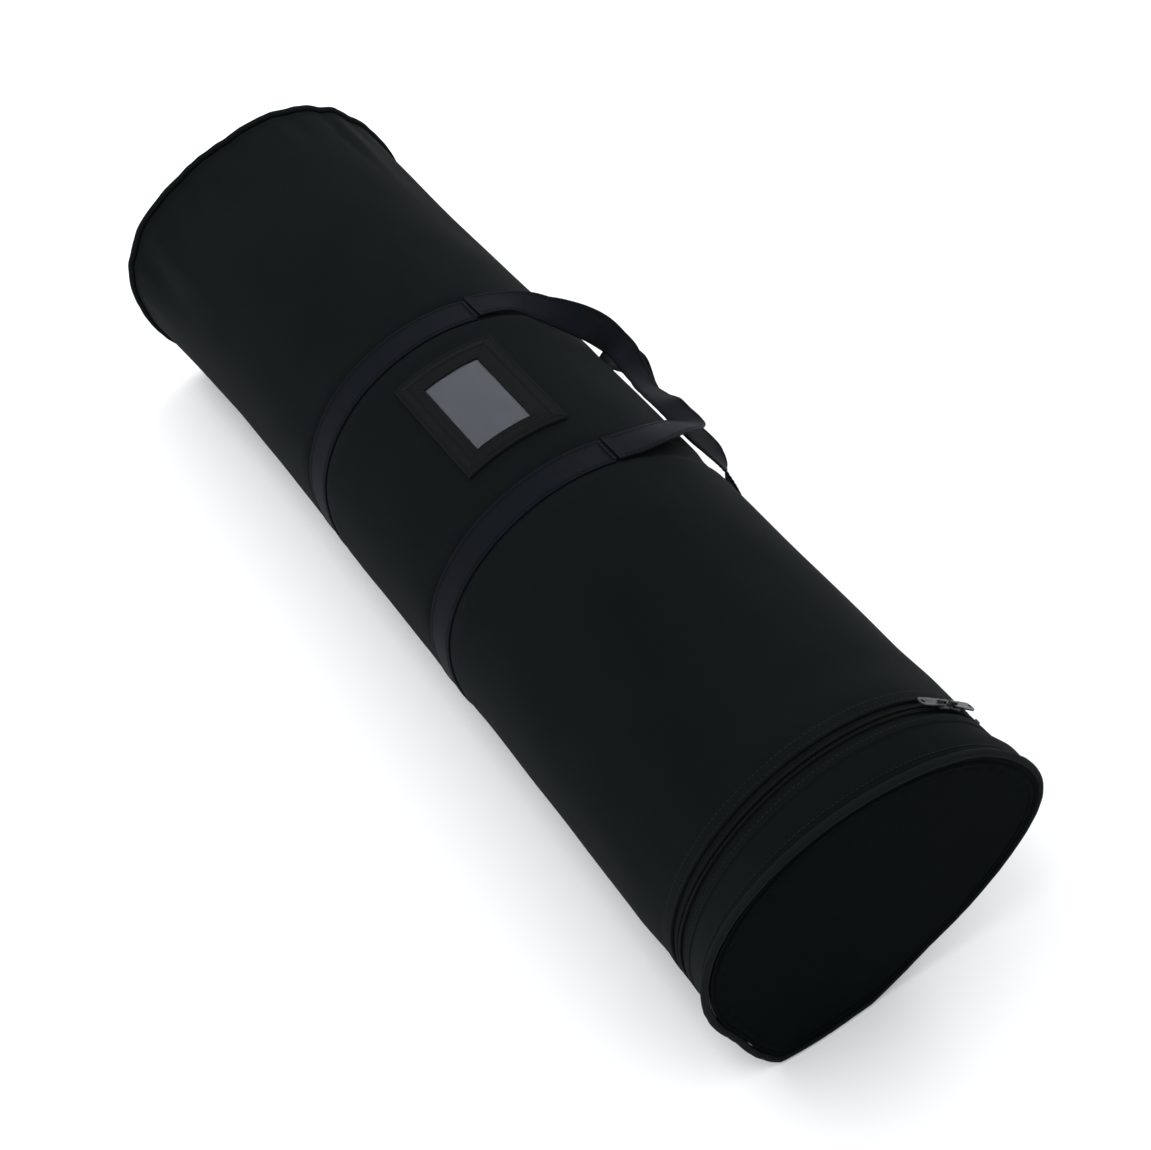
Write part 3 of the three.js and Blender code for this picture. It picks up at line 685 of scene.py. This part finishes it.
def add_end(prefix, name, side, body, seed):
    face = HALF_LENGTH - 0.0011
    back = face - FABRIC + 0.0001
    sheet = panel_profile(face, back)
    panel = disc(name + "_panel_cloth", side, sheet, 0.0018, 240, panel_bulge(seed))
    # The panel cloth is the black fabric made darker, as painted shade on the end.
    finish_piece(panel, body, "black_fabric", PANEL_SHADED_FABRIC, prefix + "_panel")
    board_top = back - 0.0028
    board = disc(name + "_stiff_board", side, panel_profile(board_top, board_top - 0.0024, 24), 0.0042)
    finish_piece(board, body, "black_board", BOARD, prefix + "_board")
    lining_top = board_top - 0.0027
    sheet = panel_profile(lining_top, lining_top - 0.0008, 24)
    lining = disc(name + "_panel_inside", side, sheet, 0.0062)
    finish_piece(lining, body, "black_lining", LINING, prefix + "_panel_lining")
    turns = np.linspace(0, TURN, 18, endpoint=False)
    y = side * (HALF_LENGTH - PIPING) + PIPING * np.cos(turns)
    loop = np.stack([y, 0.0015 + PIPING * np.sin(turns)], 1)
    cord = round_tube(name + "_piping_cord", loop, 360, sharp=80)
    finish_piece(cord, body, "black_trim", TRIM, prefix + "_piping")


# ---- zip ---------------------------------------------------------------------------------------

COIL_PITCH = 0.0016
COIL_WIRE = 0.00042
ZIP_INSET = 1.8  # degrees of each end of the zip that the stops take


def add_coil(name, side, body, node):
    """One side of the zip: a flattened nylon spiral sewn along the tape's edge."""
    reach = np.radians([ZIP_FROM + ZIP_INSET, ZIP_TO - ZIP_INSET])
    turns = int((reach[1] - reach[0]) * RING / COIL_PITCH)
    t = np.linspace(0, turns, turns * 10 + 1)
    angles = reach[0] + (reach[1] - reach[0]) * t / turns
    swing = TURN * t
    across = 0.0020 + 0.00122 * np.cos(swing)
    out = -0.00015 + 0.00060 * np.sin(swing)
    line = on_skin(angles, ZIP_Y + side * across, out)
    ahead = np.gradient(line, axis=0)
    ahead /= np.linalg.norm(ahead, axis=1, keepdims=True)
    round_way = np.stack([np.cos(angles), 0 * angles, -np.sin(angles)], -1)
    first = np.cross(ahead, round_way)
    first /= np.linalg.norm(first, axis=1, keepdims=True)
    second = np.cross(ahead, first)
    bend = np.linspace(0, TURN, 6, endpoint=False)
    ring = first[:, None] * np.cos(bend)[:, None] + second[:, None] * np.sin(bend)[:, None]
    points = line[:, None] + ring * COIL_WIRE
    coil = swept(name, points, False, t * COIL_PITCH / 3, np.linspace(0, 0.002, 6), sharp=180)
    finish_piece(coil, body, "black_trim", COIL, node)


def tape_ridge(ys):
    """A line of stitches that lifts the tape a little beside the teeth."""
    return 0.00022 * bell(np.abs(ys - ZIP_Y) - 0.0062, 0.0006)


def add_zip_side(name, side, body):
    edges = sorted([ZIP_Y + side * TAPE_SPLIT, ZIP_Y + side * (TAPE_SPLIT + TAPE_WIDTH)])
    loop = strip_loop(*edges, TAPE_TOP - TAPE, TAPE_TOP, 36, tape_ridge)
    tape = round_tube("zip_tape_cloth_" + name, loop, 320, (ZIP_FROM, ZIP_TO))
    finish_piece(tape, body, "black_trim", TAPE_CLOTH, "zip_tape_" + name)
    add_coil("zip_coil_" + name, side, body, "zip_teeth_" + name)


def rounded_copy(name, node, width, segments=2):
    """A copy of a CAD node with its flat faces whole and its edges rounded."""
    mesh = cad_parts[node].data.copy()
    thing = bpy.data.objects.new(name, mesh)
    bpy.context.scene.collection.objects.link(thing)
    work = bmesh.new()
    work.from_mesh(mesh)
    bmesh.ops.remove_doubles(work, verts=work.verts, dist=1e-6)
    bmesh.ops.dissolve_limit(work, angle_limit=math.radians(2), verts=work.verts, edges=work.edges)
    work.to_mesh(mesh)
    work.free()
    bevel = thing.modifiers.new("round", "BEVEL")
    bevel.width = width
    bevel.segments = segments
    bevel.limit_method = "ANGLE"
    bevel.angle_limit = math.radians(25)
    bevel.use_clamp_overlap = True
    applied = bpy.data.meshes.new_from_object(thing.evaluated_get(bpy.context.evaluated_depsgraph_get()))
    thing.modifiers.clear()
    thing.data = applied
    thing.data.shade_smooth()
    thing.data.set_sharp_from_angle(angle=math.radians(35))
    return thing


def add_zip_metal():
    for node, body in (
        ("slider_left", "left_slider"),
        ("slider_right", "right_slider"),
        ("puller_left", "left_puller"),
        ("puller_right", "right_puller"),
        ("zip_stop_upper", "tube"),
        ("zip_stop_lower", "tube"),
    ):
        width = 0.0002 if "stop" in node else 0.00035
        finish_piece(rounded_copy(node + "_cast", node, width, 3), body, "nickel", NICKEL, node)


# ---- webbing -----------------------------------------------------------------------------------


def webbing_top(middle):
    """The webbing's face: a rounder selvedge along each edge and a dip at each row of stitches."""
    half = WEBBING_WIDTH / 2

    def top(ys):
        from_edge = half - np.abs(ys - middle)
        return 0.0002 * bell(from_edge - 0.0012, 0.0008) - 0.00025 * bell(from_edge - 0.0033, 0.0006)

    return top


def add_strap(name, y, node):
    edges = (y - WEBBING_WIDTH / 2, y + WEBBING_WIDTH / 2)
    loop = strip_loop(*edges, GAP, GAP + WEBBING, 44, webbing_top(y))
    reach = (BACK_ROOT - 360, FRONT_ROOT)
    strap = round_tube(name, loop, 300, reach)
    finish_piece(strap, "tube", "navy_webbing", NAVY, node)
    for k, edge in enumerate(edges):
        inward = 0.0033 if k == 0 else -0.0033
        sewn = (reach[0] + 1, reach[1] - 1)
        row = skin_stitches(f"{name}_stitches_{k}", edge + inward, GAP + WEBBING - 0.0001, sewn)
        finish_piece(row, "tube", "navy_webbing", THREAD_NAVY)


def catmull_rom(points, steps):
    """A smooth line through the points, centripetal, evenly stepped from point to point."""
    points = np.vstack([2 * points[0] - points[1], points, 2 * points[-1] - points[-2]])
    found = []
    for u in np.linspace(0, len(points) - 3, steps + 1):
        i = min(int(u), len(points) - 4)
        w = u - i
        p0, p1, p2, p3 = points[i : i + 4]
        d0, d1, d2 = (np.linalg.norm(b - a) ** 0.5 for a, b in ((p0, p1), (p1, p2), (p2, p3)))
        m1 = ((p1 - p0) / d0 - (p2 - p0) / (d0 + d1) + (p2 - p1) / d1) * d1
        m2 = ((p2 - p1) / d1 - (p3 - p1) / (d1 + d2) + (p3 - p2) / d2) * d1
        cubic = 2 * p1 - 2 * p2 + m1 + m2
        found.append(p1 + m1 * w + (3 * p2 - 3 * p1 - 2 * m1 - m2) * w**2 + cubic * w**3)
    return np.array(found)


def lying_point(angle, over, y):
    half_width, top, lower = LYING
    height = top if math.cos(angle) >= 0 else lower
    return np.array([(half_width + over) * math.sin(angle), y, AXIS + (height + over) * math.cos(angle)])


def handle_line(stations, steps=260):
    """Points along a handle's middle, the directions of its width and of its face."""
    centres, widths = [], []
    for degrees, over, y, round_way, out, along in stations:
        angle = math.radians(degrees)
        centres.append(lying_point(angle, over * MM, y * MM))
        outward = np.array([math.sin(angle), 0, math.cos(angle)])
        turning = np.array([math.cos(angle), 0, -math.sin(angle)])
        width = round_way * turning + out * outward + along * np.array([0, 1, 0])
        widths.append(width / np.linalg.norm(width))
    line = catmull_rom(np.array(centres), steps)
    u = np.linspace(0, len(stations) - 1, steps + 1)
    widths = np.array(widths)
    width = np.stack([np.interp(u, np.arange(len(stations)), widths[:, k]) for k in range(3)], -1)
    ahead = np.gradient(line, axis=0)
    ahead /= np.linalg.norm(ahead, axis=1, keepdims=True)
    width -= ahead * np.sum(width * ahead, axis=1, keepdims=True)
    width /= np.linalg.norm(width, axis=1, keepdims=True)
    return line, width, np.cross(ahead, width)


def add_handle(name, stations, node):
    line, width, face = handle_line(stations)
    half, thin = WEBBING_WIDTH / 2, WEBBING / 2
    section = strip_loop(-half, half, -thin, thin, 32, webbing_top(0))
    points = line[:, None] + width[:, None] * section[None, :, :1] + face[:, None] * section[None, :, 1:]
    steps = np.linalg.norm(np.diff(line, axis=0), axis=1)
    lengths = np.concatenate([[0], np.cumsum(steps)])
    across = np.cumsum(np.linalg.norm(np.diff(section, axis=0, prepend=section[:1]), axis=1))
    pieces = [swept(name, points, False, lengths, across)]
    finish_piece(pieces[0], None, "navy_webbing", NAVY, node)
    for k, edge in enumerate((-0.0117, 0.0117)):
        for side in (-1, 1):
            seam = line + width * edge + face * side * (thin - 0.0001)
            row_name = f"{name}_stitches_{k}_{'up' if side > 0 else 'down'}"
            row = stitch_row(row_name, seam[4:-4], side * face[4:-4])
            finish_piece(row, None, "navy_webbing", THREAD_NAVY)
            pieces.append(row)
    for piece in pieces:
        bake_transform(piece)


def add_bartack(name, degrees, y):
    """A dense bar of stitches across the webbing, where a handle leaves its strap."""
    rows = []
    for k in range(5):
        angle = math.radians(degrees) + (k - 2) * 0.00062 / RING
        ys = np.linspace(y - 0.0132, y + 0.0132, 12)
        line = on_skin(np.full(12, angle), ys, GAP + WEBBING + 0.0004)
        normals = np.tile([math.sin(angle), 0, math.cos(angle)], (12, 1))
        rows.append(stitch_row(f"{name}_{k}", line, normals, 0.00036, 0.0045, -0.0006))
    finish_joined(rows, name)


def finish_joined(rows, name):
    work = bmesh.new()
    for row in rows:
        work.from_mesh(row.data)
        bpy.data.objects.remove(row)
    mesh = bpy.data.meshes.new(name)
    work.to_mesh(mesh)
    work.free()
    mesh.shade_smooth()
    thing = bpy.data.objects.new(name, mesh)
    bpy.context.scene.collection.objects.link(thing)
    finish_piece(thing, "tube", "navy_webbing", THREAD_NAVY)


# ---- name pocket -------------------------------------------------------------------------------

POCKET_RADIUS = LYING[0] ** 2 / LYING[1]
POCKET_AXIS = AXIS + LYING[1] - POCKET_RADIUS
PATCH = (-0.0845, 0.0115, -0.061, 0.067)  # arc from the top line, and y: low and high of each
OPENING = (-0.064, -0.013, -0.044, 0.044)
CARD_BOX = (-0.066, -0.011, -0.045, 0.045)


def on_pocket(arc, y, out):
    arc, y, out = np.broadcast_arrays(*(np.asarray(v, float) for v in (arc, y, out)))
    radius = POCKET_RADIUS + 1.5 * GAP + out
    angle = arc / POCKET_RADIUS
    return np.stack([radius * np.sin(angle), y, POCKET_AXIS + radius * np.cos(angle)], -1)


def pocket_sheet(name, box, low, high, wave=None, steps=(48, 60)):
    along_arc = np.linspace(*box[:2], steps[0])
    arcs, ys = np.meshgrid(along_arc, np.linspace(*box[2:], steps[1]), indexing="ij")
    rise = 0 if wave is None else wave(arcs, ys)
    uv = np.stack([arcs, ys], -1)
    return between(name, on_pocket(arcs, ys, high + rise), on_pocket(arcs, ys, low + rise), uv=uv)


def rectangle_points(box, per_side):
    """Corners and points between them, round a rectangle, with the share of the way along each side."""
    a0, a1, y0, y1 = box
    corners = np.array([(a0, y0), (a1, y0), (a1, y1), (a0, y1)])
    t = np.linspace(0, 1, per_side, endpoint=False)
    sides = [corners[k] + (corners[(k + 1) % 4] - corners[k]) * t[:, None] for k in range(4)]
    return np.vstack(sides), np.tile(t, 4), np.repeat(np.arange(4), per_side)


def border_folds(inward, outward):
    """The folds and stitch grooves across a band, in mm, from its distances to both edges."""
    outer_fold = 0.35 * bell(inward - 1.2, 1.0) - 0.45 * bell(inward - 3.4, 0.6)
    middle_fold = 0.35 * bell(inward - 9.0, 1.1) - 0.5 * bell(inward - 10.8, 0.6)
    inner_fold = 0.30 * bell(outward - 1.2, 1.0) - 0.35 * bell(outward - 3.2, 0.6)
    return outer_fold + middle_fold + inner_fold


def add_pocket_frame():
    """The pocket's border: four mitred bands, folded at both edges, sewn down on three sides."""
    per_side, across = 90, 44
    outer, t, side = rectangle_points(PATCH, per_side)
    inner, _, _ = rectangle_points(OPENING, per_side)
    share = np.linspace(0, 1, across)
    flat = outer[:, None] + (inner - outer)[:, None] * share[None, :, None]
    width = np.array([17, 24.5, 23, 20.5])[side][:, None]  # of each band, in mm
    inward = share[None, :] * width
    outward = width - inward
    open_side = (side == 1)[:, None]
    sewn = np.where(open_side, 0.0, smooth((7.5 - inward) / 4.5))
    high = 3.3 - 1.1 * sewn + border_folds(inward, outward)
    mitre = 0.45 * bell(np.minimum(t, 1 - t)[:, None] * 100, 0.9)
    high = high - mitre
    low = np.minimum(2.5 - 1.6 * sewn, high - 0.5) + 0 * high
    edge = smooth(inward / 0.7) * smooth(outward / 0.7)
    high = low + (high - low) * (0.35 + 0.65 * edge)
    top = on_pocket(flat[..., 0], flat[..., 1], high * MM)
    bottom = on_pocket(flat[..., 0], flat[..., 1], low * MM)
    piece = between("pocket_border", top, bottom, closed_rows=True, uv=flat)
    finish_piece(piece, "tube", "black_trim", POCKET_FABRIC, "id_frame")


def inset(box, by):
    return (box[0] + by, box[1] - by, box[2] + by, box[3] - by)


def add_pocket_stitches(name, box, out, sides):
    corners = np.array([(box[0], box[2]), (box[1], box[2]), (box[1], box[3]), (box[0], box[3])])
    for k in sides:
        a, b = corners[k], corners[(k + 1) % 4]
        flat = a + (b - a) * np.linspace(0, 1, 60)[:, None]
        line = on_pocket(flat[:, 0], flat[:, 1], out)
        normals = line - np.array([0, 0, POCKET_AXIS])
        normals[:, 1] = 0
        row = stitch_row(f"{name}_{k}", line, normals, 0.0003, 0.0026, 0.0009)
        finish_piece(row, "tube", "black_trim", THREAD_BLACK)


def film_ripple(arc, y):
    return 0.00012 * np.cos(arc * 230 + 1) * np.cos(y * 160)


def add_pocket():
    backing = pocket_sheet("pocket_backing_cloth", PATCH, 0, 0.0006)
    finish_piece(backing, "tube", "black_fabric", POCKET_FABRIC, "id_backing")
    card = pocket_sheet("pocket_name_card", CARD_BOX, 0.0009, 0.0013, steps=(30, 40))
    finish_piece(card, "card", "grey_card", CARD, "id_card")
    window_box = inset(OPENING, -0.006)
    window = pocket_sheet("pocket_clear_window", window_box, 0.0017, 0.0021, film_ripple, (60, 90))
    finish_piece(window, "tube", "clear_vinyl", CLEAR, "id_window")
    add_pocket_frame()
    add_pocket_stitches("pocket_outer_stitches", inset(PATCH, 0.0034), 0.0018, (0, 2, 3))
    add_pocket_stitches("pocket_inner_stitches", inset(OPENING, -0.0032), 0.0030, (0, 1, 2, 3))


# ---- seams -------------------------------------------------------------------------------------


def add_seams():
    rows = (
        ("hem_stitches_body", BODY_MOUTH + 0.0030, 0.0004, "tube"),
        ("hem_stitches_body_inner", BODY_MOUTH + 0.0100, 0.0, "tube"),
        ("hem_stitches_lid", LID_MOUTH - 0.0030, 0.0004, "lid"),
        ("far_end_stitches", WALL_END - 0.0055, 0.0, "tube"),
        ("lid_end_stitches", -WALL_END + 0.0050, 0.0, "lid"),
    )
    for name, y, out, body in rows:
        finish_piece(skin_stitches(name, y, out), body, "black_trim", THREAD_BLACK)


# ---- light, floor and camera -------------------------------------------------------------------


def add_stage():
    half = 12
    corners = np.array([[-half, -half, 0], [half, -half, 0], [half, half, 0], [-half, half, 0]], float)
    floor = make_object("floor", corners - [0, 0, 0.0002], [[0, 1, 2, 3]])
    surface = Surface("pale_floor")
    surface.colour(surface.ramp(surface.noise(3, 2), (0.93, 0.93, 0.93), (0.96, 0.96, 0.96)))
    surface.set(Roughness=0.9, Specular_IOR_Level=0.1)
    floor.data.materials.append(surface.material)
    world = bpy.data.worlds.new("studio")
    bpy.context.scene.world = world
    world.use_nodes = True
    background = world.node_tree.nodes["Background"]
    background.inputs["Color"].default_value = (0.97, 0.985, 1.0, 1)
    background.inputs["Strength"].default_value = 1.05
    bpy.context.scene.view_settings.view_transform = "Standard"


def add_area(name, place, target, size, power):
    data = bpy.data.lights.new(name, "AREA")
    data.shape = "RECTANGLE"
    data.size, data.size_y = size
    data.energy = power
    light = bpy.data.objects.new(name, data)
    light.location = place
    light.rotation_euler = (Vector(target) - Vector(place)).to_track_quat("-Z", "Y").to_euler()
    bpy.context.scene.collection.objects.link(light)


CAMERA_PLACE = (-0.6118, -1.0726, 1.260)
CAMERA_HEADING = 31.94  # degrees from +Y towards +X
CAMERA_DOWN = 44.36
CAMERA_LENS = 59.43


def add_camera():
    data = bpy.data.cameras.new("camera")
    data.sensor_width = 36
    data.sensor_fit = "HORIZONTAL"
    data.lens = CAMERA_LENS
    data.clip_end = 50
    camera = bpy.data.objects.new("camera", data)
    turn = Matrix.Rotation(math.radians(-CAMERA_HEADING), 4, "Z")
    tilt = Matrix.Rotation(math.radians(90 - CAMERA_DOWN), 4, "X")
    camera.matrix_world = Matrix.Translation(CAMERA_PLACE) @ turn @ tilt
    bpy.context.scene.collection.objects.link(camera)
    bpy.context.scene.camera = camera


# ---- everything --------------------------------------------------------------------------------

add_body_wall()
add_lid_wall()
add_hinge()
add_end("end", "closed_end", 1, "tube", SEED + 1)
add_end("lid", "lid_end", -1, "lid", SEED + 2)
add_zip_side("body", 1, "tube")
add_zip_side("lid", -1, "lid")
add_zip_metal()
add_strap("strap_webbing_far", STRAP_Y, "strap_far")
add_strap("strap_webbing_near", -STRAP_Y, "strap_near")
add_handle("front_handle_webbing", FRONT_HANDLE, "front_handle")
add_handle("back_handle_webbing", BACK_HANDLE, "back_handle")
for root_name, root_angle in (("front", FRONT_ROOT), ("back", BACK_ROOT)):
    for end_name, end_y in (("far", STRAP_Y), ("near", -STRAP_Y)):
        add_bartack(f"bartack_{root_name}_{end_name}", root_angle, end_y)
add_pocket()
add_seams()
add_stage()
add_area("key", (-1.4, 0.2, 2.6), (0, 0, 0.1), (2.4, 1.6), 40)
add_area("rim", (2.2, 1.4, 1.6), (0, 0.2, 0.15), (2.0, 1.4), 22)
add_camera()
